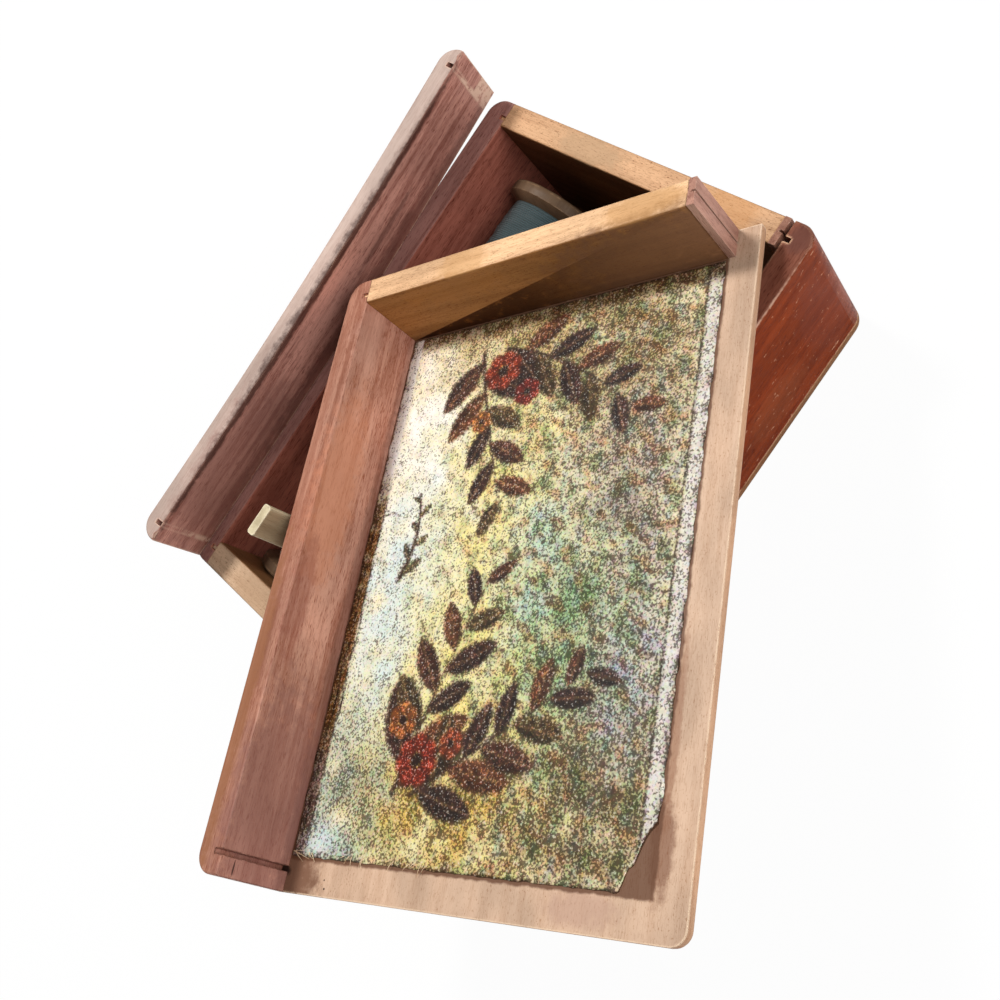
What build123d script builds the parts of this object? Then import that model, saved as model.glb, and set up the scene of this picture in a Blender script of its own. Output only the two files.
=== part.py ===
from build123d import *
import os
os.makedirs("parts", exist_ok=True)

# ---------------------------------------------------------------------------
# Wooden thread spool box, millimetres, +Z up.  The origin is the middle of the
# underside of the box.  X runs along the long walls, -Y is the front.
# The box stands open: its lid lies inside-up and turned across the rim, the
# lid's loose front rail leans over the back wall, and two spools and a thin
# slat are in the box.
# ---------------------------------------------------------------------------

# Box
box_length = 120.0          # outside, along X
box_width = 85.9            # outside, along Y
box_height = 35.5           # floor and walls together
wall = 5.8                  # thickness of every wall and rail
panel = 3.7                 # thickness of the floor and of the lid's panel
panel_round = 2.6           # rounding of their outer edges
corner_radius = 3.8         # rounding of the upright outer corners
edge_round = 0.5            # worn rounding of the long edges

# Corner joints: a tongue on each end of the short boards in a groove across
# the long ones
end_strip = 3.4             # wood left between a groove and the board's end
groove_width = 1.0
groove_depth = 1.6
tongue_clear = 0.05
open_joint = 0.7            # the front right corner of the box has sprung open
loose_thickness = 4.4       # of the split-off front rail; the rest stays as a
                            # strip on the end of the board beside it
slit_width = 0.4            # saw slit down the middle of such a strip
slit_depth = 0.8

# Lid: panel, back rail and right rail; the front rail is off
rail_height = 15.7
lid_back_along = -42.4274   # middle of its back edge, from the box's middle
lid_back_in = 40.3452       # in from the back of the box
lid_back_lift = 1.4319      # over the rim, at the panel's inner face
lid_turn = 33.15            # about Z
lid_pitch = 7.67            # about its own crosswise axis
lid_roll = -8.06            # about its own long axis
left_seat_corner = 2.7      # rounding of the panel's bare front left corner
lining = 0.25               # thickness of the paper lining
lining_gap = 0.4            # from the paper to the rails or their seats
tear = (10.0, 5.4)          # torn-off corner of the paper

# Loose front rail, standing on the back wall's rim and leaning in
rail_along = 0.35           # middle of its inner foot, from the box's middle
rail_in = 0.95              # in from the back of the box
rail_turn = 2.0
rail_lean = 7.0
rail_bow = 1.3              # it has warped, its middle towards the box
rail_clear = 0.3            # under its inner edge
chip_height = 6.0           # broken piece of its right end strip

# Spools, lying along X in the back of the box
flange_diameter = 26.0
barrel_diameter = 11.0
spool_length = 30.0
flange_thickness = 6.0      # at the barrel, where its cone ends
flange_rim = 2.6            # straight part of the flange's edge
bore_diameter = 7.0
thread_diameter = 21.0
thread_bulge = 0.4          # fuller in the middle of the spool
thread_shoulder = 9.0       # from the spool's end to where it is full
thread_clear = 0.05         # thread pack to flange
spool_clear = 0.3           # spool to floor and back wall
right_spool_gap = 6.2       # right spool's end to the right end wall
left_spool_gap = 0.6        # left spool's end to the left end wall

# Slat standing in the left of the box
slat_width = 6.5
slat_thickness = 2.0
slat_length = 52.0
slat_along = 2.4274         # its middle, from the middle of the lid's back edge
slat_clear = 1.05           # to the left spool's thread
slat_round = 0.6

wall_height = box_height - panel
half_length = box_length / 2
half_width = box_width / 2
groove_middle = end_strip + groove_width / 2
strip_thickness = wall - loose_thickness


def panel_board(plane, left_corner=corner_radius):
    """Floor or lid panel, its outer face at the plane.  A left_corner other
    than the box's is for the bare front edge, whose right corner is square."""
    with BuildPart() as board:
        with BuildSketch(plane) as outline:
            RectangleRounded(box_length, box_width, corner_radius)
            if left_corner != corner_radius:
                with Locations((0, -half_width / 2)):
                    Rectangle(box_length, half_width)
                front_left = outline.vertices().group_by(Axis.Y)[0].sort_by(Axis.X)[0]
                fillet(front_left, left_corner)
        extrude(amount=panel)
        outer_face = board.faces().sort_by(Axis(plane.origin, plane.z_dir))[0]
        fillet(outer_face.edges(), panel_round)
    return board.part


def long_board(height, plane, side, thickness=wall, chip=0.0, bow=0.0):
    """A long wall or rail: grooved inside near both ends, rounded at its outer
    corners.  side is +1 for the back and -1 for the front.  The plane's origin
    is the middle of the outline at the foot of the board."""
    outer = side * half_width
    inner = side * (half_width - thickness)
    with BuildPart() as board:
        with BuildSketch(plane) as outline:
            with BuildLine():
                if bow:
                    ThreePointArc(
                        (-half_length, inner), (0, inner - side * bow), (half_length, inner)
                    )
                    ThreePointArc(
                        (half_length, outer), (0, outer - side * bow), (-half_length, outer)
                    )
                else:
                    Line((-half_length, inner), (half_length, inner))
                    Line((half_length, outer), (-half_length, outer))
                Line((half_length, inner), (half_length, outer))
                Line((-half_length, outer), (-half_length, inner))
            make_face()
            outer_corners = outline.vertices().sort_by(Axis.Y)
            fillet(outer_corners[-2:] if side > 0 else outer_corners[:2], corner_radius)
        extrude(amount=height)
        top = board.faces().sort_by(Axis(plane.origin, plane.z_dir))[-1]
        fillet(top.edges().filter_by(lambda e: e.length > box_length / 2), edge_round)
        with BuildSketch(plane):
            with Locations(
                *[
                    (end * (half_length - groove_middle), inner + side * groove_depth / 2)
                    for end in (-1, 1)
                ]
            ):
                Rectangle(groove_width, groove_depth)
        extrude(amount=height, mode=Mode.SUBTRACT)
        if chip:
            with BuildSketch(plane):
                with Locations((half_length - end_strip / 2, (inner + outer) / 2)):
                    Rectangle(end_strip, thickness)
            extrude(amount=chip, mode=Mode.SUBTRACT)
    return board.part


def short_board(height, plane, front_gap=0.0, tongues=(-1, 1)):
    """An end wall or rail between the long ones, with a tongue on each of the
    named ends: -1 is its front one and +1 its back one."""
    front = -(half_width - wall) + front_gap
    back = half_width - wall
    middle = half_length - wall / 2
    reach = groove_depth - tongue_clear
    with BuildPart() as board:
        with BuildSketch(plane):
            with Locations((middle, (front + back) / 2)):
                Rectangle(wall, back - front)
        extrude(amount=height)
        top = board.faces().sort_by(Axis(plane.origin, plane.z_dir))[-1]
        fillet(top.edges().filter_by(lambda e: e.length > box_width / 2), edge_round)
        with BuildSketch(plane):
            for end in tongues:
                with Locations(
                    (half_length - groove_middle, (back if end > 0 else front) + end * reach / 2)
                ):
                    Rectangle(groove_width - 2 * tongue_clear, reach)
        extrude(amount=height - edge_round)
    return board.part


def corner_strip(height, plane, gap=0.0):
    """Strip of the front board's inner wood, on the front end of a short one,
    with a slit down its front."""
    front = -(half_width - wall) + gap
    middle = half_length - wall / 2
    with BuildPart() as strip:
        with BuildSketch(plane):
            with Locations((middle, front + strip_thickness / 2)):
                Rectangle(wall, strip_thickness)
            with Locations((middle, front + slit_depth / 2)):
                Rectangle(slit_width, slit_depth, mode=Mode.SUBTRACT)
        extrude(amount=height)
    return strip.part


def save(piece, name):
    piece.label = name
    export_step(piece, f"parts/{name}.step")


# ---------------------------------------------------------------------------
# Box: floor, two long walls with grooves, two end walls between them
# ---------------------------------------------------------------------------
floor_plane = Plane.XY
wall_plane = Plane.XY.offset(panel)
turned_wall_plane = Plane(origin=(0, 0, panel), x_dir=(-1, 0, 0), z_dir=(0, 0, 1))

box_floor = panel_board(floor_plane)
box_back_wall = long_board(wall_height, wall_plane, 1)
box_front_wall = long_board(wall_height, wall_plane, -1)
box_right_end = short_board(
    wall_height, wall_plane, front_gap=open_joint + strip_thickness, tongues=(1,)
)
box_corner_strip = corner_strip(wall_height, wall_plane, gap=open_joint)
box_left_end = short_board(wall_height, turned_wall_plane)
save(box_floor, "box_floor")
save(box_back_wall, "box_back_wall")
save(box_front_wall, "box_front_wall")
save(box_right_end, "box_right_end")
save(box_left_end, "box_left_end")
save(box_corner_strip, "box_corner_strip")

# ---------------------------------------------------------------------------
# Lid: panel inside-up, back rail, right rail, paper lining.  The right rail
# stops one rail thickness short of the panel's front edge, where the loose
# rail was glued.
# ---------------------------------------------------------------------------
lid_place = (
    Location((lid_back_along, half_width - lid_back_in, box_height + lid_back_lift))
    * Location((0, 0, 0), (0, 0, lid_turn))
    * Location((0, 0, 0), (0, lid_pitch, 0))
    * Location((0, 0, 0), (lid_roll, 0, 0))
    * Location((0, -half_width, 0))
)
lid_plane = Plane(lid_place)

lid_panel = panel_board(lid_plane.offset(-panel), left_corner=left_seat_corner)
lid_back_rail = long_board(rail_height, lid_plane, 1)
lid_right_rail = short_board(rail_height, lid_plane, tongues=(1,))
lid_corner_strip = corner_strip(rail_height, lid_plane, gap=-strip_thickness)
save(lid_panel, "lid_panel")
save(lid_back_rail, "lid_back_rail")
save(lid_right_rail, "lid_right_rail")
save(lid_corner_strip, "lid_corner_strip")

paper_left = -half_length + wall + lining_gap
paper_right = half_length - wall - lining_gap
paper_front = -half_width + wall + lining_gap
paper_back = half_width - wall - lining_gap
with BuildPart() as lid_lining:
    with BuildSketch(lid_plane):
        with BuildLine():
            Polyline(
                (paper_left, paper_front + tear[1]),
                (paper_left, paper_back),
                (paper_right, paper_back),
                (paper_right, paper_front),
                (paper_left + tear[0], paper_front),
            )
            ThreePointArc(
                (paper_left + tear[0], paper_front),
                (paper_left + tear[0] * 0.55, paper_front + tear[1] * 0.55),
                (paper_left, paper_front + tear[1]),
            )
        make_face()
    extrude(amount=lining)
save(lid_lining.part, "lid_lining")

# ---------------------------------------------------------------------------
# Loose front rail of the lid, on the rim of the back wall.  Its inner face
# looks to the front, so it is a back-side board in its own plane.
# ---------------------------------------------------------------------------
rail_place = (
    Location((rail_along, half_width - rail_in, box_height + rail_clear))
    * Location((0, 0, 0), (0, 0, rail_turn))
    * Location((0, 0, 0), (rail_lean, 0, 0))
    * Location((0, loose_thickness - half_width, 0))
)
loose_rail = long_board(
    rail_height,
    Plane(rail_place),
    1,
    thickness=loose_thickness,
    chip=chip_height,
    bow=rail_bow,
)
save(loose_rail, "loose_rail")

# ---------------------------------------------------------------------------
# Spools: turned wood with coned flanges and a bore; the thread is a filled
# pack between the flanges
# ---------------------------------------------------------------------------
spool_y = half_width - wall - spool_clear - flange_diameter / 2
spool_z = panel + spool_clear + flange_diameter / 2
right_spool_x = half_length - wall - right_spool_gap - spool_length
left_spool_x = -half_length + wall + left_spool_gap


def spool(start_x):
    """Wooden spool and its thread, along +X from start_x."""
    axis_plane = Plane(origin=(start_x, spool_y, spool_z), x_dir=(1, 0, 0), z_dir=(0, -1, 0))
    axis = Axis((start_x, spool_y, spool_z), (1, 0, 0))
    flange = flange_diameter / 2
    barrel = barrel_diameter / 2
    bore = bore_diameter / 2
    with BuildPart() as wood:
        with BuildSketch(axis_plane):
            with BuildLine():
                Polyline(
                    (0, bore),
                    (0, flange - edge_round),
                    (edge_round, flange),
                    (flange_rim, flange),
                    (flange_thickness, barrel),
                    (spool_length - flange_thickness, barrel),
                    (spool_length - flange_rim, flange),
                    (spool_length - edge_round, flange),
                    (spool_length, flange - edge_round),
                    (spool_length, bore),
                    close=True,
                )
            make_face()
        revolve(axis=axis)
    reach = thread_diameter / 2
    slope = (flange_thickness - flange_rim) / (flange - barrel)
    foot = flange_thickness + thread_clear
    head = foot - slope * (reach - barrel)
    with BuildPart() as thread:
        with BuildSketch(axis_plane):
            with BuildLine():
                Polyline(
                    (head, reach),
                    (foot, barrel),
                    (spool_length - foot, barrel),
                    (spool_length - head, reach),
                    (spool_length - thread_shoulder, reach + thread_bulge),
                    (thread_shoulder, reach + thread_bulge),
                    close=True,
                )
            make_face()
        revolve(axis=axis)
    return wood.part, thread.part


for name, start_x in (("right", right_spool_x), ("left", left_spool_x)):
    wood, thread = spool(start_x)
    save(wood, f"spool_{name}")
    save(thread, f"thread_{name}")

# ---------------------------------------------------------------------------
# Slat: a thin stick standing in the box between a spool and the lid
# ---------------------------------------------------------------------------
slat_y = spool_y - thread_diameter / 2 - thread_bulge - slat_clear - slat_thickness / 2
slat_foot = Plane(origin=(lid_back_along + slat_along, slat_y, panel + spool_clear))
with BuildPart() as slat:
    with BuildSketch(slat_foot):
        RectangleRounded(slat_width, slat_thickness, slat_round)
    extrude(amount=slat_length)
save(slat.part, "slat")
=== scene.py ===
import math

import bpy
import numpy as np
from mathutils import Euler, Matrix, Vector


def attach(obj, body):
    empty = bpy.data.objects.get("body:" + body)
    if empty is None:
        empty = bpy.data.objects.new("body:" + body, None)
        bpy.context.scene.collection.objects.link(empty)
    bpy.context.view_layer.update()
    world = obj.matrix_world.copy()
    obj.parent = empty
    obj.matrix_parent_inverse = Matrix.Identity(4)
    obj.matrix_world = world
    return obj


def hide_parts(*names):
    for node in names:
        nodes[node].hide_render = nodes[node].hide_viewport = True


# An old wooden box for spools of sewing cotton, standing open.  Its lid lies
# inside-up across the rim with two of its four rails gone, and one of those
# leans on the back wall.  Metres, +Z up, the box's long walls run along X.
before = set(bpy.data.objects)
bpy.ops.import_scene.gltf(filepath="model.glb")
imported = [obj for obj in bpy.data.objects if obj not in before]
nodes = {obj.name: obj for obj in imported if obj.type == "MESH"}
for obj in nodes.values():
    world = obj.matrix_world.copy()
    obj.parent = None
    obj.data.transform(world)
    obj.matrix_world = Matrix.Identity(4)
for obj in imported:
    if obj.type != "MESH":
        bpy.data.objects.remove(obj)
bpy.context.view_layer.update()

# ---------------------------------------------------------------------------
# View, light and table.  The camera looks down from in front of the box and is
# rolled, so that the lid's long side runs up the picture.  A window above and
# behind gives most of the light, a wide lamp in front the rest.
# ---------------------------------------------------------------------------
camera_at = Vector((-0.002926, -0.143476, 0.211635))
look_at = Vector((-0.0110514, -0.0184401, 0.0355))
camera_roll = math.radians(-58.724)
lamps_aim = (0, 0, 0.03)
room_strength = 0.23
table_glow = 0.96

camera_data = bpy.data.cameras.new("photo_camera")
camera_data.lens = 41.16
camera_data.sensor_width = 36
camera_data.clip_start = 0.01
camera = bpy.data.objects.new("photo_camera", camera_data)
camera.location = camera_at
camera.rotation_mode = "QUATERNION"
camera.rotation_quaternion = (look_at - camera_at).to_track_quat("-Z", "Y") @ Euler(
    (0, 0, camera_roll)
).to_quaternion()
bpy.context.scene.collection.objects.link(camera)
bpy.context.scene.camera = camera
bpy.context.scene.view_settings.view_transform = "Standard"


def area_lamp(name, at, aim, size, watts, colour=(1, 1, 1)):
    """A square soft lamp at a point, aimed at another."""
    data = bpy.data.lights.new(name, "AREA")
    data.size = size
    data.energy = watts
    data.color = colour
    lamp = bpy.data.objects.new(name, data)
    lamp.location = at
    lamp.rotation_mode = "QUATERNION"
    lamp.rotation_quaternion = (Vector(aim) - Vector(at)).to_track_quat("-Z", "Y")
    bpy.context.scene.collection.objects.link(lamp)


area_lamp("window", (0.10, 0.38, 0.70), lamps_aim, 0.12, 4.7, (1.0, 0.985, 0.96))
area_lamp("front_lamp", (0.24, -0.62, 0.52), lamps_aim, 0.70, 4.3)


def add(tree, kind, values={}, **settings):
    """A shader node with its settings, and its inputs by name or number, each
    a plain value or another node's output."""
    node = tree.nodes.new("ShaderNode" + kind)
    for key, value in settings.items():
        setattr(node, key, value)
    for key, value in values.items():
        if isinstance(value, bpy.types.NodeSocket):
            tree.links.new(value, node.inputs[key])
        else:
            node.inputs[key].default_value = value
    return node


def calc(tree, operation, *terms, clamp=False):
    """One step of arithmetic between numbers or sockets."""
    node = add(tree, "Math", dict(enumerate(terms)), operation=operation, use_clamp=clamp)
    return node.outputs[0]


def new_material(name):
    """A new material, with its node tree and its principled shader."""
    material = bpy.data.materials.new(name)
    material.use_nodes = True
    return material, material.node_tree, material.node_tree.nodes["Principled BSDF"]


# The room lights the box dimly, and shows as plain white behind the table
world = bpy.data.worlds.new("room_light")
bpy.context.scene.world = world
world.use_nodes = True
tree = world.node_tree
room = tree.nodes["Background"]
room.inputs["Color"].default_value = (1, 1, 1, 1)
seen = add(tree, "LightPath").outputs["Is Camera Ray"]
strength = calc(tree, "MULTIPLY_ADD", seen, 1 - room_strength, room_strength)
tree.links.new(strength, room.inputs["Strength"])

# The table takes the box's shadow, but faintly: its own glow hides the rest
table = bpy.data.meshes.new("table")
table.from_pydata([(-3, -3, 0), (3, -3, 0), (3, 3, 0), (-3, 3, 0)], [], [(0, 1, 2, 3)])
table_object = bpy.data.objects.new("table", table)
bpy.context.scene.collection.objects.link(table_object)
white_table, tree, matt = new_material("white_table")
matt.inputs["Base Color"].default_value = (0.92, 0.92, 0.92, 1)
matt.inputs["Roughness"].default_value = 0.8
glow = add(tree, "Emission", {"Strength": 1.0})
seen = add(tree, "LightPath").outputs["Is Camera Ray"]
share = calc(tree, "MULTIPLY", seen, table_glow)
mixed = add(tree, "MixShader", {0: share, 1: matt.outputs[0], 2: glow.outputs[0]})
tree.links.new(mixed.outputs[0], tree.nodes["Material Output"].inputs["Surface"])
table.materials.append(white_table)

# ---------------------------------------------------------------------------
# Floor of the box: a thin board of pale close-grained wood, glued under the four
# walls; its inside face is painted darker, as painted shade of the box's interior.
# Its edge shows as a lighter strip below them.
# ---------------------------------------------------------------------------


def screen_light(part):
    """Screen values from 0 to 1 as the renderer's linear light."""
    return np.where(part <= 0.04045, part / 12.92, ((part + 0.055) / 1.055) ** 2.4)


def paint(red, green, blue):
    """A colour given as 0-255 screen values, in linear light."""
    return (*screen_light(np.array((red, green, blue)) / 255).tolist(), 1.0)


def vector_calc(tree, operation, *terms):
    """One step of arithmetic between vectors or sockets."""
    node = add(tree, "VectorMath", dict(enumerate(terms)), operation=operation)
    return node.outputs["Value" if operation in ("DOT_PRODUCT", "LENGTH") else "Vector"]


def level(tree, value, low, high, start=0.0, end=1.0):
    """A soft step: start below low, end above high."""
    step = {0: value, 1: low, 2: high, 3: start, 4: end}
    return add(tree, "MapRange", step, interpolation_type="SMOOTHSTEP").outputs[0]


def blend(tree, share, first, second, way="MIX"):
    """Two colours mixed by a share."""
    colours = {0: share, 6: first, 7: second}
    return add(tree, "Mix", colours, data_type="RGBA", blend_type=way).outputs[2]


def stretched(tree, vector, scale, **values):
    """Noise from 0 to 1, its grain packed by the scale along each axis."""
    spread = vector_calc(tree, "MULTIPLY", vector, scale)
    settings = {"Vector": spread, "Scale": 1.0, "Detail": 2.0, **values}
    return add(tree, "TexNoise", settings).outputs["Fac"]


def in_millimetres(tree, position, place):
    """A position seen from a place, in millimetres along the place's axes."""
    settings = {
        "Vector": position,
        "Location": place.to_translation(),
        "Rotation": place.to_euler(),
        "Scale": (0.001, 0.001, 0.001),
    }
    return add(tree, "Mapping", settings, vector_type="TEXTURE").outputs[0]


def emboss(tree, shader, height, strength, distance):
    """Turn the shader's normal as a relief of a given depth in metres does."""
    relief = add(tree, "Bump", {"Strength": strength, "Distance": distance, "Height": height})
    tree.links.new(relief.outputs[0], shader.inputs["Normal"])


def node_group(name, inputs, outputs):
    """An empty node group with named sockets: its tree, what comes in and
    what goes out."""
    tree = bpy.data.node_groups.new(name, "ShaderNodeTree")
    for title, kind in inputs.items():
        tree.interface.new_socket(title, in_out="INPUT", socket_type="NodeSocket" + kind)
    for title, kind in outputs.items():
        tree.interface.new_socket(title, in_out="OUTPUT", socket_type="NodeSocket" + kind)
    return tree, tree.nodes.new("NodeGroupInput").outputs, tree.nodes.new("NodeGroupOutput").inputs


# Grain of a sawn board, along X of a position in millimetres: long streaks,
# short pores, small flecks and fine fibres darken the ground, and slow clouds
# make it paler or deeper; the pores are sunk, the streaks and flecks less shiny
grain, given, out = node_group(
    "wood_grain",
    {
        "Position": "Vector",
        "Ground": "Color",
        "Dark": "Color",
        "Streaks": "Float",
        "Pores": "Float",
        "Flecks": "Float",
    },
    {"Color": "Color", "Height": "Float", "Dullness": "Float"},
)
at = given["Position"]
streak = stretched(grain, at, (0.03, 0.55, 0.55), Detail=5.0, Roughness=0.62, Distortion=0.25)
pore = level(grain, stretched(grain, at, (0.6, 6.2, 6.2), Detail=1.0), 0.56, 0.70)
fleck = stretched(grain, at, (2.2, 4.4, 4.4), Detail=1.0, Distortion=0.7)
fleck = level(grain, fleck, 0.60, 0.74)
fibre = stretched(grain, at, (0.22, 9.0, 9.0))
cloud = level(grain, stretched(grain, at, (0.05, 0.11, 0.11)), 0.3, 0.7)
share = calc(grain, "MULTIPLY", level(grain, streak, 0.38, 0.66), given["Streaks"])
share = calc(grain, "MULTIPLY_ADD", pore, given["Pores"], share)
share = calc(grain, "MULTIPLY_ADD", fleck, given["Flecks"], share)
share = calc(grain, "MULTIPLY_ADD", calc(grain, "SUBTRACT", fibre, 0.5), 0.55, share, clamp=True)
deep = blend(grain, 1.0, given["Ground"], given["Dark"], "MULTIPLY")
tone = blend(grain, share, given["Ground"], deep)
pale = calc(grain, "MULTIPLY_ADD", cloud, 0.30, 0.85)
tone = add(grain, "VectorMath", {0: tone, 3: pale}, operation="SCALE").outputs[0]
height = calc(grain, "MULTIPLY_ADD", pore, -0.8, calc(grain, "MULTIPLY", fibre, 0.6))
dull = calc(grain, "MULTIPLY_ADD", streak, 0.3, calc(grain, "MULTIPLY", fleck, 0.15))
grain.links.new(tone, out["Color"])
grain.links.new(height, out["Height"])
grain.links.new(dull, out["Dullness"])

# Wear along edges: how far a rounded normal turns from the true one, broken
# up by noise
wear, given, out = node_group(
    "edge_wear", {"Position": "Vector", "Width": "Float", "Amount": "Float"}, {"Mask": "Float"}
)
round_off = add(wear, "Bevel", {"Radius": given["Width"]}, samples=6)
facing = add(wear, "NewGeometry").outputs["True Normal"]
turn = vector_calc(wear, "DOT_PRODUCT", round_off.outputs[0], facing)
edge = level(wear, calc(wear, "SUBTRACT", 1.0, turn), 0.015, 0.12)
rubbed = stretched(wear, given["Position"], (0.45, 0.6, 0.6), Detail=4.0, Roughness=0.7)
rubbed = calc(wear, "MULTIPLY_ADD", given["Amount"], 0.35, rubbed)
rubbed = level(wear, rubbed, 0.50, 0.66)
wear.links.new(calc(wear, "MULTIPLY", edge, rubbed), out["Mask"])


def wood(
    name,
    ground,
    worn,
    dark=(0.42, 0.32, 0.26, 1),
    place=Matrix(),
    across=False,
    sides=(),
    streaks=0.5,
    pores=0.5,
    flecks=0.3,
    rough=0.5,
    varnish=(),
    gloss_weight=0.15,
    shine=0.16,
    scuffs=0.0,
    wear_width=0.0006,
    wear_amount=0.5,
    bump=0.06,
    spots=(),
    bed=None,
    calm=None,
):
    """Wood of one board, worn along its edges.  Its place turns the pattern
    with the board; across runs the grain along the board's own Y.  Each of the
    sides is a direction of the board and the colour of the faces that look
    that way; varnish lists the directions with a gloss, and scuffs are pale
    marks in it; faces that look the calm way show little grain.  Spots are
    patches of colour, stains and some painted shade, each a soft ball's middle
    and radii in the board's millimetres, a colour and a strength; bed is a
    rectangle of old glue, given by its half sides and its colour."""
    material, tree, shader = new_material(name)
    here = add(tree, "TexCoord").outputs
    grain_place = (place @ Matrix.Rotation(math.pi / 2, 4, "Z")) if across else place
    at = in_millimetres(tree, here["Object"], grain_place)
    board = in_millimetres(tree, here["Object"], place) if spots or bed else None

    def faces(direction):
        """How far a face looks a given way of the board."""
        way = place.to_3x3() @ Vector(direction)
        return level(tree, vector_calc(tree, "DOT_PRODUCT", here["Normal"], way), 0.55, 0.85)

    colour = ground
    for direction, side_colour in sides:
        colour = blend(tree, faces(direction), colour, side_colour)
    if calm:
        quiet = calc(tree, "MULTIPLY_ADD", faces(calm), -0.75, 1.0)
        streaks = calc(tree, "MULTIPLY", quiet, streaks)
        pores = calc(tree, "MULTIPLY", quiet, pores)
    marks = {"Streaks": streaks, "Pores": pores, "Flecks": flecks}
    grained = {"Position": at, "Ground": colour, "Dark": dark, **marks}
    figure = add(tree, "Group", grained, node_tree=grain).outputs
    tone = figure["Color"]
    for middle, radii, stain, strength in spots:
        off = vector_calc(tree, "DIVIDE", vector_calc(tree, "SUBTRACT", board, middle), radii)
        ragged = stretched(tree, board, (0.35, 0.35, 0.35), Detail=4.0, Roughness=0.7)
        ragged = calc(tree, "SUBTRACT", ragged, 0.5)
        far = calc(tree, "MULTIPLY_ADD", ragged, 1.4, vector_calc(tree, "LENGTH", off))
        tone = blend(tree, level(tree, far, 0.55, 1.15, strength, 0.0), tone, stain)
    if bed:
        half_sides, glue = bed
        off = vector_calc(tree, "SUBTRACT", vector_calc(tree, "ABSOLUTE", board), (*half_sides, 0))
        off = add(tree, "SeparateXYZ", {0: off}).outputs
        crust = stretched(tree, board, (0.5, 0.5, 0.5), Detail=3.0)
        off = calc(tree, "MULTIPLY_ADD", crust, 0.9, calc(tree, "MAXIMUM", off[0], off[1]))
        tone = blend(tree, level(tree, off, 0.25, 0.75, 0.9, 0.0), tone, glue)
    if varnish:
        gloss = faces(varnish[0])
        for direction in varnish[1:]:
            gloss = calc(tree, "MAXIMUM", gloss, faces(direction))
    if scuffs:
        scuff = stretched(tree, at, (0.5, 1.1, 1.1), Detail=3.0, Roughness=0.75)
        scuff = calc(tree, "MULTIPLY", level(tree, scuff, 0.64, 0.69, 0.0, scuffs), gloss)
        tone = blend(tree, scuff, tone, paint(206, 150, 118))
    edges = {"Position": at, "Width": wear_width, "Amount": wear_amount}
    rubbed = add(tree, "Group", edges, node_tree=wear).outputs["Mask"]
    tone = blend(tree, rubbed, tone, worn)
    tree.links.new(tone, shader.inputs["Base Color"])
    shader.inputs["Specular IOR Level"].default_value = shine
    roughness = calc(tree, "ADD", figure["Dullness"], rough - 0.15)
    if varnish:
        gloss = calc(tree, "MULTIPLY", gloss, calc(tree, "SUBTRACT", 1.0, rubbed))
        coat = calc(tree, "MULTIPLY", gloss, gloss_weight)
        tree.links.new(coat, shader.inputs["Coat Weight"])
        shader.inputs["Coat Roughness"].default_value = 0.16
        roughness = calc(tree, "MULTIPLY_ADD", gloss, -0.12, roughness)
    tree.links.new(roughness, shader.inputs["Roughness"])
    emboss(tree, shader, figure["Height"], 0.5, bump / 1000)
    return material


def dress(name, material, soften=0.00022):
    """A packed board gets its material, and its sharp edges a small round."""
    node = nodes[name]
    node.data.materials.clear()
    node.data.materials.append(material)
    weld = node.modifiers.new("weld", "WELD")
    weld.merge_threshold = 0.000001
    bevel = node.modifiers.new("soft_edges", "BEVEL")
    bevel.width = soften
    bevel.segments = 2
    bevel.limit_method = "ANGLE"
    bevel.angle_limit = math.radians(40)
    bevel.harden_normals = True


dress(
    "box_floor",
    wood(
        "box_floor_wood",
        paint(150, 104, 68),
        # The inside (top) face is darker than the rest: painted shade of the box's interior
        sides=[((0, 0, -1), paint(150, 92, 60)), ((0, 0, 1), paint(104, 72, 48))],
        streaks=0.35,
        pores=0.35,
        flecks=0.5,
        worn=paint(206, 160, 116),
        spots=[
            ((20, -10, 3.7), (30, 22, 4), paint(96, 64, 44), 0.5),
            ((-35, -20, 3.7), (16, 12, 4), paint(110, 80, 56), 0.4),
        ],
    ),
)

# ---------------------------------------------------------------------------
# Long walls of the box: red-brown wood, stained and varnished outside and
# bare inside, with the grooves of the corner joints near their ends.
# ---------------------------------------------------------------------------
red_dark = (0.40, 0.27, 0.24, 1)
dress(
    "box_back_wall",
    wood(
        "box_back_wall_wood",
        paint(184, 112, 94),
        dark=red_dark,
        sides=[((0, 1, 0), paint(136, 60, 28)), ((0, 0, 1), paint(174, 126, 116))],
        varnish=[(0, 1, 0)],
        pores=0.7,
        flecks=0.1,
        worn=paint(186, 132, 108),
        wear_amount=0.35,
    ),
)
dress(
    "box_front_wall",
    wood(
        "box_front_wall_wood",
        paint(138, 80, 62),
        dark=red_dark,
        sides=[
            ((0, -1, 0), paint(140, 57, 18)),
            ((1, 0, 0), paint(136, 60, 34)),
            ((0, 0, 1), paint(138, 84, 66)),
        ],
        varnish=[(0, -1, 0), (1, 0, 0), (-1, 0, 0)],
        gloss_weight=0.03,
        shine=0.05,
        scuffs=0.85,
        spots=[
            ((22, -42.9, 35.4), (34, 0.42, 0.34), paint(226, 184, 160), 0.75),
            ((-10, -42.9, 24), (16, 1, 5), paint(150, 78, 48), 0.4),
            ((34, -42.9, 12), (10, 1, 6), paint(152, 80, 46), 0.35),
            ((57, -40, 35.5), (3.2, 2.6, 1.4), paint(104, 64, 54), 0.8),
            ((52, -42.9, 18), (7, 1, 14), paint(122, 60, 44), 0.4),
        ],
        pores=0.7,
        flecks=0.1,
        worn=paint(214, 170, 138),
        wear_amount=0.4,
        wear_width=0.0008,
    ),
)
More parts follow.
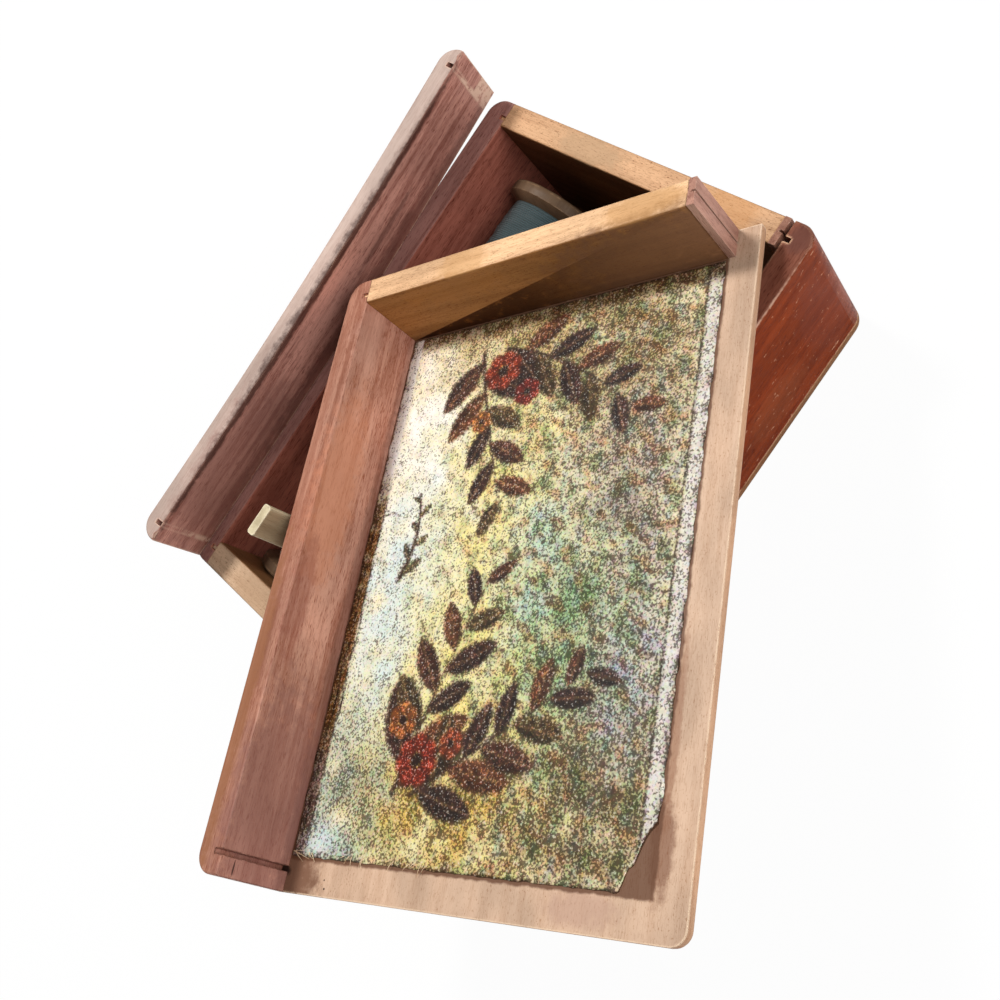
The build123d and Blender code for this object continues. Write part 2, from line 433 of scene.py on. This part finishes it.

# ---------------------------------------------------------------------------
# End walls of the box: pale wood with fine dark flecks, tongued into the long
# walls, rubbed and stained on the rim.  The right one's inner face is painted
# dark: painted shade of the box's interior.
# ---------------------------------------------------------------------------
dress(
    "box_left_end",
    wood(
        "box_left_end_wood",
        paint(150, 108, 70),
        across=True,
        sides=[((0, 0, 1), paint(214, 182, 150)), ((-1, 0, 0), paint(176, 120, 76))],
        varnish=[(-1, 0, 0)],
        streaks=0.3,
        pores=0.35,
        flecks=0.7,
        worn=paint(150, 112, 84),
        spots=[
            ((-57, -20, 35), (5, 14, 3), paint(150, 116, 92), 0.7),
            ((-57, 20, 35.5), (4, 8, 1), paint(186, 150, 118), 0.5),
        ],
    ),
)
dress(
    "box_right_end",
    wood(
        "box_right_end_wood",
        # Ground for the inner face, darker than the left end's: painted shade of the box's
        # interior
        paint(104, 70, 42),
        across=True,
        sides=[((0, 0, 1), paint(210, 166, 126)), ((1, 0, 0), paint(176, 120, 76))],
        spots=[
            ((57, 12, 35.5), (4, 9, 1), paint(178, 146, 112), 0.55),
            ((57, -24, 35.5), (4, 8, 1), paint(196, 140, 84), 0.5),
        ],
        varnish=[(1, 0, 0)],
        streaks=0.3,
        pores=0.4,
        flecks=0.85,
        worn=paint(170, 124, 86),
    ),
)

# ---------------------------------------------------------------------------
# Strip of the front wall's wood left on the right end where the corner has
# sprung open, with a saw slit down its front.  Its grain stands upright.
# ---------------------------------------------------------------------------
upright = Matrix.Rotation(-math.pi / 2, 4, "Y")
dress(
    "box_corner_strip",
    wood(
        "box_strip_wood",
        paint(158, 112, 92),
        dark=red_dark,
        sides=[((0, 0, 1), paint(172, 132, 114))],
        place=upright,
        pores=0.6,
        worn=paint(196, 158, 140),
        wear_width=0.0003,
        wear_amount=0.2,
    ),
    soften=0.00008,
)

# ---------------------------------------------------------------------------
# Spools: turned from wood, waxed, with coned flanges and a bore, lying in the back
# of the box; their wood is painted dark, as painted shade of the box's interior.
# All in millimetres.
# ---------------------------------------------------------------------------
spool_y, spool_z = 23.85, 17.0
spool_starts = {"right": 18.0, "left": -53.6}
spool_length = 30.0
round_angle = np.linspace(0, 2 * np.pi, 72, endpoint=False)[None, :]


def grid_mesh(name, points, wrap_rows=False, wrap_columns=False, smooth_below=40):
    """A surface from a grid of points in millimetres: each square of the grid
    is a face, and a wrapped grid joins its last row or column to its first.
    Edges sharper than the given angle stay sharp."""
    rows, columns = points.shape[:2]
    row = np.arange(rows if wrap_rows else rows - 1)[:, None]
    column = np.arange(columns if wrap_columns else columns - 1)[None, :]
    next_row, next_column = (row + 1) % rows, (column + 1) % columns
    square = [(row, column), (row, next_column), (next_row, next_column), (next_row, column)]
    faces = np.stack([r * columns + c for r, c in square], axis=-1).reshape(-1, 4)
    mesh = bpy.data.meshes.new(name)
    mesh.from_pydata((points.reshape(-1, 3) / 1000).tolist(), [], faces.tolist())
    mesh.shade_smooth()
    mesh.set_sharp_from_angle(angle=math.radians(smooth_below))
    piece = bpy.data.objects.new(name, mesh)
    bpy.context.scene.collection.objects.link(piece)
    return piece


def turned(name, along, radius, start_x):
    """A ring turned about a spool's axis: a closed profile gives the distance
    along X and the radius, which may change round the axis; each profile
    point runs round as y = middle + radius x cosine of the angle and
    z = middle - radius x sine."""
    x = start_x + along[:, None] + 0 * round_angle
    y = spool_y + radius * np.cos(round_angle)
    z = spool_z - radius * np.sin(round_angle)
    return grid_mesh(name, np.stack([x, y, z], axis=-1), wrap_rows=True, wrap_columns=True)


# Half of the profile, from the bore over a flange and its cone to the barrel,
# as distance from the spool's end and radius; the other half mirrors it
cheek = [(0.35, 3.5), (0.08, 3.75), (0.12, 7.6), (0.0, 8.1), (0.0, 12.3), (0.16, 12.75)]
rim = [(0.5, 13.0), (1.5, 13.0), (2.5, 13.0), (2.72, 12.8)]
cone = [(3.6, 10.85), (4.9, 7.95), (6.0, 5.5), (10.5, 5.5)]
half_profile = np.array(cheek + rim + cone)
other_half = (half_profile * (-1, 1) + (spool_length, 0))[::-1]
spool_profile = np.concatenate([half_profile, other_half])
# The wood's colour is darkened for the deep shade inside the box: painted shade
spool_wood = wood(
    "spool_wood",
    paint(100, 79, 60),
    dark=(0.50, 0.40, 0.30, 1),
    streaks=0.35,
    pores=0.3,
    flecks=0.15,
    rough=0.42,
    worn=paint(160, 128, 98),
    wear_amount=0.2,
    bump=0.04,
)
for side, start_x in spool_starts.items():
    spool = turned(f"turned_spool_{side}", spool_profile[:, 0], spool_profile[:, 1:], start_x)
    spool.data.materials.append(spool_wood)
    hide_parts(f"spool_{side}")
    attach(spool, f"{side}_spool")

# ---------------------------------------------------------------------------
# Sewing cotton wound on the spools in close even turns, fuller in the middle,
# the thread of a few twisted plies: teal on the right spool, pale on the left.
# The teal is painted dark, as painted shade of the box's interior, and both go
# darker in the grooves between the turns, as painted shade.
# ---------------------------------------------------------------------------
pitch, bead = 0.46, 0.17
flange_feet = (3.8, 26.2)
along = np.linspace(3.95, 26.05, 340)[:, None]
pack_ends = np.array([(24.0, 5.56), (6.0, 5.56)])
# Crest and groove colour of each cotton; the right pair is darkened: painted shade
cotton_and_shade_colours = {
    "right": (paint(36, 64, 68), paint(9, 22, 26)),
    "left": (paint(216, 206, 184), paint(128, 114, 92)),
}


def ripple(u, v, size, seed):
    """A soft random field of about unit height: the sum of plane waves of
    about the given length, each in a random direction with a random phase."""
    waves = 14
    chance = np.random.default_rng(seed)
    total = 0
    for way, length, shift in chance.uniform((0, 0.6, 0), (2 * np.pi, 1.8, 2 * np.pi), (waves, 3)):
        across = u * np.cos(way) + v * np.sin(way)
        total = total + np.sin(2 * np.pi * across / (length * size) + shift)
    return total / math.sqrt(waves / 2)


# The turns: their count grows by one each pitch and falls by one each round, so
# that they run as a screw; each stands up as a bead, |cosine| to the power 0.8
turns = along / pitch - round_angle / (2 * np.pi)
beads = bead * np.abs(np.cos(np.pi * turns)) ** 0.8
from_flange = np.minimum(along - flange_feet[0], flange_feet[1] - along)
full = 10.25 + 0.42 * np.clip(from_flange / 5.2, 0, 1) ** 0.8
for seed, (side, start_x) in enumerate(spool_starts.items()):
    uneven = 0.05 * ripple(along, 6 * np.cos(round_angle), 5.0, seed + 3)
    uneven = uneven + 0.03 * ripple(along, 11 * np.sin(round_angle), 1.6, seed + 8)
    profile_x = np.concatenate([along[:, 0], pack_ends[:, 0]])
    radius = np.concatenate([full + uneven + beads, pack_ends[:, 1:] + 0 * round_angle])
    pack = turned(f"wound_thread_{side}", profile_x, radius, start_x)
    wound = np.concatenate([turns, pack_ends[:, :1] + 0 * round_angle])
    strand = np.stack([radius * round_angle, wound, 0 * radius], axis=-1)
    winding = pack.data.attributes.new("winding", "FLOAT_VECTOR", "POINT")
    winding.data.foreach_set("vector", strand.astype(np.float32).ravel())

    cotton, tree, shader = new_material(f"cotton_{side}")
    on_strand = add(tree, "Attribute", attribute_name="winding").outputs["Vector"]
    run, turn = add(tree, "SeparateXYZ", {0: on_strand}).outputs[:2]
    twist = calc(tree, "MULTIPLY_ADD", run, 2.1, turn)
    twist = calc(tree, "SINE", calc(tree, "MULTIPLY", twist, 2 * math.pi))
    lint = stretched(tree, on_strand, (1.2, 6.0, 1.0), Detail=3.0)
    # Light on the crests of the turns, deep in the grooves between them: painted shade
    lit_crest = calc(tree, "ABSOLUTE", calc(tree, "COSINE", calc(tree, "MULTIPLY", turn, math.pi)))
    light, deep = cotton_and_shade_colours[side]
    share = level(tree, calc(tree, "MULTIPLY_ADD", lint, 0.35, lit_crest), 0.15, 0.95)
    tree.links.new(blend(tree, share, deep, light), shader.inputs["Base Color"])
    tree.links.new(calc(tree, "MULTIPLY_ADD", lint, 0.2, 0.55), shader.inputs["Roughness"])
    shader.inputs["Sheen Weight"].default_value = 0.25
    emboss(tree, shader, twist, 0.4, 0.00008)
    pack.data.materials.append(cotton)
    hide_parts(f"thread_{side}")
    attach(pack, f"{side}_spool")

# ---------------------------------------------------------------------------
# Slat: a thin smooth stick of pale wood, standing in the left of the box.
# ---------------------------------------------------------------------------
dress(
    "slat",
    wood(
        "slat_wood",
        paint(216, 202, 168),
        dark=(0.5, 0.42, 0.34, 1),
        place=Matrix.Translation((-0.040, 0.0109, 0.004)) @ upright,
        # Its front face is painted darker than the rest: painted shade
        sides=[((0, -1, 0), paint(166, 146, 116))],
        streaks=0.4,
        pores=0.3,
        flecks=0.1,
        rough=0.55,
        worn=paint(232, 220, 190),
    ),
    soften=0.0001,
)

# ---------------------------------------------------------------------------
# Lid panel: a thin board of pale wood, lying with its inner face up.  Its
# bare margins are where the missing rails were glued; the frame of old glue
# round the paper is dark.
# ---------------------------------------------------------------------------
lid_place = (
    Matrix.Translation((-0.0185, -0.03256, 0.0429))
    @ Matrix.Rotation(math.radians(33.15), 4, "Z")
    @ Matrix.Rotation(math.radians(7.67), 4, "Y")
    @ Matrix.Rotation(math.radians(-8.06), 4, "X")
)
dress(
    "lid_panel",
    wood(
        "lid_panel_wood",
        paint(210, 178, 152),
        dark=(0.60, 0.46, 0.36, 1),
        place=lid_place,
        bed=((54.3, 37.2), paint(104, 68, 48)),
        sides=[
            ((0, 0, -1), paint(134, 62, 38)),
            ((1, 0, 0), paint(204, 158, 124)),
            ((-1, 0, 0), paint(204, 158, 124)),
            ((0, -1, 0), paint(206, 162, 128)),
            ((0, 1, 0), paint(150, 84, 58)),
        ],
        varnish=[(0, 0, -1)],
        streaks=0.25,
        pores=0.3,
        flecks=0.6,
        worn=paint(236, 208, 178),
        spots=[
            ((-47, -37.6, 0), (8, 2.2, 3), paint(120, 74, 52), 0.7),
            ((-30, -37.6, 0), (16, 1.2, 3), paint(150, 104, 78), 0.6),
            ((-58, 36.4, 0), (10, 8, 4), paint(126, 90, 70), 0.95),
            ((-56.3, 37.9, 0), (1.3, 1.5, 2), paint(46, 28, 24), 0.95),
            ((-56.5, -25, 0), (3, 7, 3), paint(176, 138, 122), 0.5),
            ((-57.2, 27.6, 0), (0.22, 0.22, 0.9), paint(44, 28, 22), 0.95),
            ((-58.6, 27.2, 0), (0.22, 0.22, 0.9), paint(44, 28, 22), 0.95),
        ],
    ),
)

# ---------------------------------------------------------------------------
# Rails of the lid: the back one of the red-brown wood, the right one of the
# pale wood, and the strip of the lost front corner on its end.
# ---------------------------------------------------------------------------
dress(
    "lid_back_rail",
    wood(
        "lid_back_rail_wood",
        paint(208, 154, 134),
        dark=(0.52, 0.34, 0.27, 1),
        place=lid_place,
        sides=[((0, 1, 0), paint(136, 60, 28)), ((0, 0, 1), paint(186, 134, 112))],
        varnish=[(0, 1, 0)],
        streaks=0.7,
        pores=0.8,
        flecks=0.25,
        worn=paint(104, 64, 50),
        wear_width=0.0004,
        spots=[
            ((0, 41.2, 15.7), (64, 1.0, 1), paint(150, 92, 70), 0.5),
            ((-20, 37.1, 1.0), (70, 4, 1.6), paint(120, 78, 64), 0.55),
            ((14, 37.1, 11), (24, 4, 6), paint(204, 134, 102), 0.6),
            ((-10, 37.1, 13), (14, 4, 3), paint(150, 88, 74), 0.5),
            ((-30, 41.5, 15.5), (34, 2.2, 3), paint(150, 98, 64), 0.65),
            ((-48, 37.1, 8), (26, 4, 11), paint(146, 100, 92), 0.65),
            # A thin dark mark near the end where a slit is: painted shade of a slit, not a cut
            ((-58.4, 37.1, 12.2), (1.8, 1.5, 0.22), paint(60, 36, 32), 0.85),
            ((48, 37.1, 12), (10, 4, 4), paint(208, 160, 142), 0.5),
        ],
    ),
)
dress(
    "lid_right_rail",
    wood(
        "lid_right_rail_wood",
        paint(172, 120, 70),
        place=lid_place,
        across=True,
        sides=[((0, 0, 1), paint(240, 196, 152)), ((1, 0, 0), paint(176, 120, 76))],
        varnish=[(1, 0, 0)],
        streaks=0.35,
        pores=0.45,
        flecks=0.6,
        worn=paint(96, 62, 38),
        wear_width=0.0005,
        spots=[
            ((54.2, 0, 0.8), (3, 50, 1.2), paint(104, 70, 46), 0.5),
            ((54.2, -30, 5), (3, 28, 14), paint(124, 88, 66), 0.75),
            ((54.2, 16, 12), (3, 14, 4), paint(186, 124, 62), 0.4),
            ((57, -28, 15.7), (4, 9, 1), paint(196, 144, 84), 0.55),
            ((57, 12, 15.7), (4, 7, 1), paint(206, 156, 100), 0.5),
        ],
    ),
)
dress(
    "lid_corner_strip",
    wood(
        "lid_strip_wood",
        paint(184, 136, 118),
        dark=red_dark,
        place=lid_place @ upright,
        sides=[((0, 0, 1), paint(190, 150, 132))],
        pores=0.6,
        worn=paint(196, 158, 140),
        wear_width=0.0003,
        wear_amount=0.2,
    ),
    soften=0.00008,
)

# ---------------------------------------------------------------------------
# Paper lining of the lid: a printed sheet glued on the panel, yellowed and
# scuffed, with one corner torn off.  The print is made of small dots: soft
# washes, and over them sprays of brown autumn leaves with red flowers.
# ---------------------------------------------------------------------------
left, right, front, back = -53.8, 53.8, -36.75, 36.75
sheet_rows, sheet_columns = 181, 261
torn_along, torn_across = 10, 5.4

# The sheet in the lid's millimetres, u along it and v across: its edges wander
# a little, and the left one is cut back where the corner is torn off
row_v = np.linspace(front, back, sheet_rows)[:, None]
part_along = np.linspace(0, 1, sheet_columns)[None, :]
corner = np.clip(1 - (row_v - front) / torn_across, 0, 1)
jagged = ripple(row_v, 0, 1.8, 5) * (0.05 + 0.3 * (corner > 0))
torn = torn_along * corner + 4 * corner * (1 - corner) + jagged + 0.1
width = right - left - torn - 0.1 + 0.06 * ripple(row_v, 9, 3.0, 6)
paper_u = left + torn + part_along * width
by_edge = np.abs(2 * (row_v - front) / (back - front) - 1) ** 30
paper_v = row_v + 0.10 * ripple(paper_u, 4, 4.0, 7) * by_edge
from_left, from_right = paper_u - (left + torn), right - paper_u
from_front, from_back = paper_v - front, back - paper_v


def mottled(size, seed):
    """A ripple over the whole sheet."""
    return ripple(paper_u, paper_v, size, seed)


def bell(*offs):
    """1 where every off is 0, falling as e to the minus sum of their squares."""
    return np.exp(-sum(off**2 for off in offs))


# Its height over the panel: slow waves, and a rise along the left edge
lift = 0.13 + 0.04 * mottled(14, 8) + 0.02 * mottled(3.5, 9)
rise = 0.10 * np.exp(-from_left / 1.5) * (0.6 + 0.4 * ripple(paper_v, 0, 9, 10))
lift = np.clip(lift + rise * (1 + 1.6 * corner), 0.12, 0.9)

# The print, as 0-255 screen colours at the points of the sheet
ink = np.zeros((*paper_u.shape, 3)) + (236, 226, 184)


def lay(share, colour):
    """Mix a colour into the print by a share given at each point."""
    global ink
    share = np.clip(share, 0, 1)[..., None]
    ink = ink * (1 - share) + np.array(colour) * share


# Washes: each a bell about its middle, broken up by random waves
washes = [
    (30, 26, 30, 13, (253, 248, 236), 0.95),
    (-6, 25, 26, 12, (216, 230, 230), 0.95),
    (-44, 26, 14, 14, (156, 170, 158), 0.9),
    (-24, 4, 26, 16, (240, 222, 140), 0.85),
    (22, 6, 26, 13, (236, 220, 140), 0.75),
    (-44, 2, 11, 20, (218, 182, 92), 0.9),
    (-40, -24, 16, 13, (152, 136, 92), 0.95),
    (40, -18, 18, 18, (176, 150, 98), 0.9),
    (12, -24, 22, 10, (176, 158, 140), 0.8),
    (-14, -16, 16, 12, (142, 172, 118), 0.8),
    (-22, -28, 14, 7, (176, 172, 184), 0.7),
    (48, 10, 8, 22, (196, 164, 104), 0.6),
    (0, -6, 13, 7, (180, 204, 190), 0.6),
]
for number, (u, v, wide, high, colour, strength) in enumerate(washes):
    patch = bell((paper_u - u) / wide, (paper_v - v) / high)
    lay(patch * strength * (1 + 0.35 * mottled(9, 20 + number)), colour)

# Blotches of four sizes, faint towards the back
blotches = [
    (6.0, (104, 124, 66), 0.40),
    (4.0, (184, 108, 52), 0.32),
    (3.0, (110, 144, 160), 0.24),
    (2.0, (70, 52, 40), 0.26),
]
fading = 1.1 - np.clip((paper_v + 6) / 34, 0, 0.9)
for number, (size, colour, strength) in enumerate(blotches):
    patch = np.clip(mottled(size, 40 + number) - 0.5, 0, 1)
    lay(patch * strength * fading, colour)


def leaf(u, v, way, length, width, colour):
    """One leaf: a pointed lens about a midrib, half as wide as width times
    (1 - a squared) to the power 0.8, where a runs from -1 to 1 along it, with
    a toothed dark rim, a pale midrib and side veins."""
    du, dv = paper_u - u, paper_v - v
    a = (du * math.cos(way) + dv * math.sin(way)) / (length / 2)
    b = (dv * math.cos(way) - du * math.sin(way)) / (width / 2)
    rim = np.clip(1 - a * a, 0, None) ** 0.8 * (1 + 0.05 * np.sin(a * length * 2.4))
    inside = rim - np.abs(b)
    body = np.clip(inside * 3.5, 0, 1) * (np.abs(a) < 1)
    shade = 0.78 + 0.3 * np.clip(b, -1, 1) + 0.12 * mottled(2.0, int(abs(u * 7 + v)) + 60)
    lay(body * 0.92, np.array(colour) * np.clip(shade, 0.5, 1.25)[..., None])
    lay(body * bell(inside * width / 0.55) * 0.55, (52, 34, 30))
    veins = bell(b * width / 0.5) + 0.5 * (np.sin((a * 3.2 + np.abs(b)) * 7) > 0.9)
    lay(body * np.clip(veins, 0, 1) * 0.5, (206, 160, 108))


def spray(points, leaves, size, colours, seed):
    """A stem from the first of three points to the last, bent towards the
    middle one as a quadratic curve, with leaves set by turns on its two sides,
    smaller towards its tip."""
    chance = np.random.default_rng(seed)
    start, middle, end = (np.array(point, dtype=float) for point in points)

    def on_stem(step):
        """The point a given part of the way along the stem."""
        return (1 - step) ** 2 * start + 2 * step * (1 - step) * middle + step**2 * end

    for step in np.linspace(0, 1, 60):
        u, v = on_stem(step)
        thick = 0.45 - 0.25 * step
        lay(bell((paper_u - u) / thick, (paper_v - v) / thick) * 0.85, (84, 56, 42))
    for number in range(leaves):
        step = (number + 0.5) / leaves
        ahead = (1 - step) * (middle - start) + step * (end - middle)
        way = math.atan2(ahead[1], ahead[0]) + (0.75 if number % 2 else -0.75)
        way = way + chance.uniform(-0.2, 0.2)
        long = size * (1.15 - 0.6 * step) * chance.uniform(0.85, 1.15)
        u, v = on_stem(step) + np.array([math.cos(way), math.sin(way)]) * long * 0.48
        leaf(u, v, way, long, long * 0.44, colours[number % len(colours)])


def flower(u, v, radius, colour, petals, turn):
    """A round flower: petals as a cosine of the angle about its middle, darker
    in the folds and with a dark seeded heart."""
    du, dv = paper_u - u, paper_v - v
    far, way = np.hypot(du, dv) / radius, np.arctan2(dv, du) + turn
    petal = np.abs(np.cos(way * petals / 2))
    body = np.clip((0.86 + 0.14 * petal**0.5 - far) * 6, 0, 1)
    fold = 0.7 + 0.45 * petal * (0.4 + 0.6 * far)
    lay(body * 0.95, np.array(colour) * fold[..., None])
    lay(np.clip((0.32 - far) * 8, 0, 1), (74, 48, 36))
    seeds = np.clip(1 - np.abs(far - 0.26) * 16, 0, 1) * (np.sin(way * 11) > 0.2)
    lay(seeds * 0.8, (214, 170, 84))


browns = [(124, 72, 54), (92, 56, 50), (156, 90, 56), (122, 96, 58), (84, 54, 50)]
spray([(-42, 16), (-26, 12), (-2, 3)], 11, 14.0, browns, 1)
spray([(-42, 12), (-32, -4), (-20, -22)], 11, 13.0, browns[::-1], 2)
spray([(46, 16), (30, 12), (10, 4)], 9, 13.5, browns, 3)
spray([(46, 10), (42, -6), (26, -23)], 10, 13.0, browns[1:], 4)
spray([(-2, 26), (6, 22), (16, 25)], 6, 4.5, [(150, 150, 106), (136, 140, 120)], 5)
flowers = [
    (-36, 12, 5.0, (184, 66, 40), 7),
    (-29, 17, 3.6, (206, 122, 60), 6),
    (41, 10, 4.8, (190, 74, 44), 7),
    (35, 3, 3.2, (172, 56, 42), 6),
    (-33, 5, 2.8, (200, 96, 56), 6),
    (30, 13, 2.6, (210, 130, 66), 6),
]
for number, (u, v, radius, colour, petals) in enumerate(flowers):
    flower(u, v, radius, colour, petals, number)

# Front margin: pale, with a thin dark rule.  Back margin: white to the right,
# stained ochre and then grey to the left, with two broken dark lines
lay(np.clip((2.6 - from_front) * 5, 0, 1) * 0.85, (222, 216, 208))
rule = bell((from_front - 2.75) / 0.2)
lay(rule * (0.62 + 0.2 * ripple(paper_u, 3, 5, 80)), (70, 56, 44))
in_margin = np.clip((2.9 - from_back) * 4, 0, 1)
stained = np.clip((22 - paper_u) / 12, 0, 1)
lay(in_margin * (1 - stained) * 0.92, (244, 240, 234))
lay(in_margin * stained * (0.85 + 0.15 * mottled(4, 81)), (172, 118, 62))
lay(in_margin * np.clip((-30 - paper_u) / 8, 0, 1) * 0.8, (164, 140, 132))
for off, strength in ((2.9, 0.6), (1.3, 0.55)):
    line = bell((off - from_back + 0.12 * ripple(paper_u, 5, 12, 87)) / 0.2)
    broken = np.clip(strength + 0.35 * ripple(paper_u, 3, 5, 88), 0, 1)
    lay(line * stained * broken, (62, 42, 32))

# A brown shade by the right rail, a pale blue patch in the back left corner that
# is a painted sheen, dirt along every edge, white fibres along the tear, and
# cracks from the back
shade = np.clip((4.5 - from_right) / 3, 0, 1) * (0.55 + 0.2 * mottled(4, 89))
lay(shade * (1 - in_margin), (150, 108, 66))
# Pale blue patch in the back left corner: a painted sheen
lay(bell((paper_u + 51) / 4, (paper_v - 30) / 5) * 0.8, (206, 222, 228))
for seed, edge in enumerate((from_left, from_right, from_front, from_back), start=82):
    dirt = np.exp(-edge / 0.55) * np.clip(0.45 + 0.45 * mottled(5, seed), 0, 1)
    lay(dirt * 0.75, (92, 66, 46))
white = np.exp(-np.abs(from_left - 0.45) / 0.3) * (corner > 0)
lay(white * np.clip(0.9 + 0.5 * mottled(1.5, 86), 0, 1), (232, 220, 204))
for number, (u, lean) in enumerate([(-14, 0.05), (2, -0.03), (12, 0.06)]):
    wander = 0.3 * ripple(paper_v, 0, 5, 90 + number)
    crack = bell((paper_u - u - lean * from_back + wander) / 0.16)
    lay(crack * np.clip(1 - from_back / (7 + 3 * number), 0, 1) * 0.7, (70, 52, 38))


def on_lid(points):
    """Points given in the lid's own millimetres, in the box's."""
    place = np.array(lid_place)
    return points @ place[:3, :3].T + 1000 * place[:3, 3]


sheet = on_lid(np.stack([paper_u, paper_v, lift], axis=-1))
paper = grid_mesh("printed_lining", sheet, smooth_below=180)
linear = screen_light(np.clip(ink, 0, 255) / 255)
linear = np.concatenate([linear, np.ones((*paper_u.shape, 1))], axis=-1)
printed = paper.data.color_attributes.new("print", "FLOAT_COLOR", "POINT")
printed.data.foreach_set("color", linear.astype(np.float32).ravel())
thick = paper.modifiers.new("paper_thickness", "SOLIDIFY")
thick.thickness = 0.00010
thick.offset = -1

# Old print: the washes broken into small dots of uneven hue, dark specks of
# ink, more of them where the print is dark, and points where it is rubbed off
old_print, tree, shader = new_material("old_print")
at = in_millimetres(tree, add(tree, "TexCoord").outputs["Object"], lid_place)
washed = add(tree, "Attribute", attribute_name="print").outputs["Color"]
dots = {"Vector": at, "Scale": 2.1, "Randomness": 0.9}
dots = add(tree, "TexVoronoi", dots, voronoi_dimensions="2D").outputs
thin = stretched(tree, at, (0.3, 0.3, 0.3), Detail=4.0, Roughness=0.65)
speck = stretched(tree, at, (2.5, 2.5, 2.5), Roughness=0.55)
bright = add(tree, "RGBToBW", {0: washed}).outputs[0]
dot_hue = blend(tree, 0.16, (0.5, 0.5, 0.5, 1), dots["Color"])
tone = blend(tree, 1.0, washed, dot_hue, "OVERLAY")
inked = calc(tree, "MULTIPLY_ADD", thin, 0.35, speck)
inked = level(tree, calc(tree, "MULTIPLY_ADD", bright, -0.26, inked), 0.535, 0.61)
dark_ink = blend(tree, 1.0, tone, (0.13, 0.10, 0.09, 1), "MULTIPLY")
tone = blend(tree, calc(tree, "MULTIPLY", inked, 0.84), tone, dark_ink)
bare = calc(tree, "MULTIPLY_ADD", dots["Distance"], 0.3, speck)
bare = level(tree, bare, 0.40, 0.50, 0.30, 0.0)
tone = blend(tree, bare, tone, (0.90, 0.90, 0.84, 1))
tree.links.new(tone, shader.inputs["Base Color"])
tree.links.new(calc(tree, "MULTIPLY_ADD", thin, 0.35, 0.36), shader.inputs["Roughness"])
shader.inputs["Specular IOR Level"].default_value = 0.2
height = calc(tree, "MULTIPLY", thin, 0.6)
height = calc(tree, "MULTIPLY_ADD", dots["Distance"], 0.5, height)
emboss(tree, shader, height, 0.35, 0.0001)
paper.data.materials.append(old_print)
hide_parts("lid_lining")
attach(paper, "lid")

# Fibres pulled out of the cut edge: thin strips that rise in a low arc over
# the bare wood, each turned and bent its own way, three long and the rest short
chance = np.random.default_rng(11)
hairs, rings = 14, 7
roots = np.concatenate([[36.5, 36.3, 36.0], chance.uniform(4, 34, hairs)])
lengths = np.concatenate([[4.4, 3.4, 2.8], chance.uniform(0.9, 2.2, hairs)])
ways = np.concatenate([[-1.78, -1.55, -2.0], chance.uniform(-3.9, -1.9, hairs)])
step = np.linspace(0, 1, rings)[:, None]
strips = []
for root, length, way in zip(roots, lengths, ways):
    bend = chance.uniform(-0.9, 0.9)
    u = left + 0.9 + step * length * math.cos(way) - bend * step**2 * math.sin(way)
    v = root + step * length * math.sin(way) + bend * step**2 * math.cos(way)
    rise = 0.30 + chance.uniform(0.1, 0.5) * np.sin(np.pi * step) - 0.17 * step
    wide = np.array([[-0.5, 0.5, 0.5, -0.5]]) * chance.uniform(0.10, 0.20) * (1.15 - step)
    tall = np.array([[-0.5, -0.5, 0.5, 0.5]]) * 0.07
    strip = [u - wide * math.sin(way), v + wide * math.cos(way), rise + tall]
    strips.append(np.stack(strip, axis=-1).reshape(-1, 3))

# The faces of one strip: four between each ring of points and the next, and
# one over either end
squares = []
for ring in range(0, 4 * (rings - 1), 4):
    for side in range(4):
        here, there = ring + side, ring + (side + 1) % 4
        squares.append((here, there, there + 4, here + 4))
last = 4 * (rings - 1)
squares += [(3, 2, 1, 0), (last, last + 1, last + 2, last + 3)]
squares = [np.array(squares) + number * 4 * rings for number in range(len(strips))]
fibre_mesh = bpy.data.meshes.new("paper_fibres")
fibre_points = on_lid(np.concatenate(strips)) / 1000
fibre_mesh.from_pydata(fibre_points.tolist(), [], np.concatenate(squares).tolist())
fibres = bpy.data.objects.new("paper_fibres", fibre_mesh)
bpy.context.scene.collection.objects.link(fibres)
raw_paper, tree, shader = new_material("raw_paper")
cloudy = stretched(tree, add(tree, "TexCoord").outputs["Object"], (900, 900, 900))
share = level(tree, cloudy, 0.35, 0.7)
tone = blend(tree, share, paint(232, 208, 174), paint(184, 150, 112))
tree.links.new(tone, shader.inputs["Base Color"])
tree.links.new(calc(tree, "MULTIPLY_ADD", cloudy, 0.2, 0.7), shader.inputs["Roughness"])
fibre_mesh.materials.append(raw_paper)
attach(fibres, "lid")

# ---------------------------------------------------------------------------
# Front rail of the lid, split off and warped, leaning on the back wall: dark
# with handling inside, its rim rubbed pale.
# ---------------------------------------------------------------------------
loose_thickness, half_width = 0.0044, 0.04295
rail_place = (
    Matrix.Translation((0.00035, 0.042, 0.0358))
    @ Matrix.Rotation(math.radians(2), 4, "Z")
    @ Matrix.Rotation(math.radians(7), 4, "X")
    @ Matrix.Translation((0, loose_thickness - half_width, 0))
)
dress(
    "loose_rail",
    wood(
        "loose_rail_wood",
        paint(206, 150, 134),
        dark=(0.42, 0.28, 0.26, 1),
        place=rail_place,
        sides=[
            ((0, 1, 0), paint(136, 60, 28)),
            ((0, 0, 1), paint(194, 170, 158)),
            ((-1, 0, 0), paint(132, 84, 68)),
        ],
        calm=(0, 0, 1),
        varnish=[(0, 1, 0)],
        streaks=0.75,
        pores=0.8,
        flecks=0.1,
        worn=paint(214, 178, 156),
        wear_amount=0.4,
        spots=[
            ((-40, 38, 6), (26, 4, 12), paint(150, 104, 94), 0.5),
            ((10, 38, 1), (60, 4, 3), paint(110, 74, 66), 0.5),
            ((0, 37.6, 15.0), (90, 1.7, 1.0), paint(66, 38, 32), 0.8),
            ((20, 38, 7), (12, 2, 1.0), paint(96, 56, 48), 0.6),
        ],
    ),
)
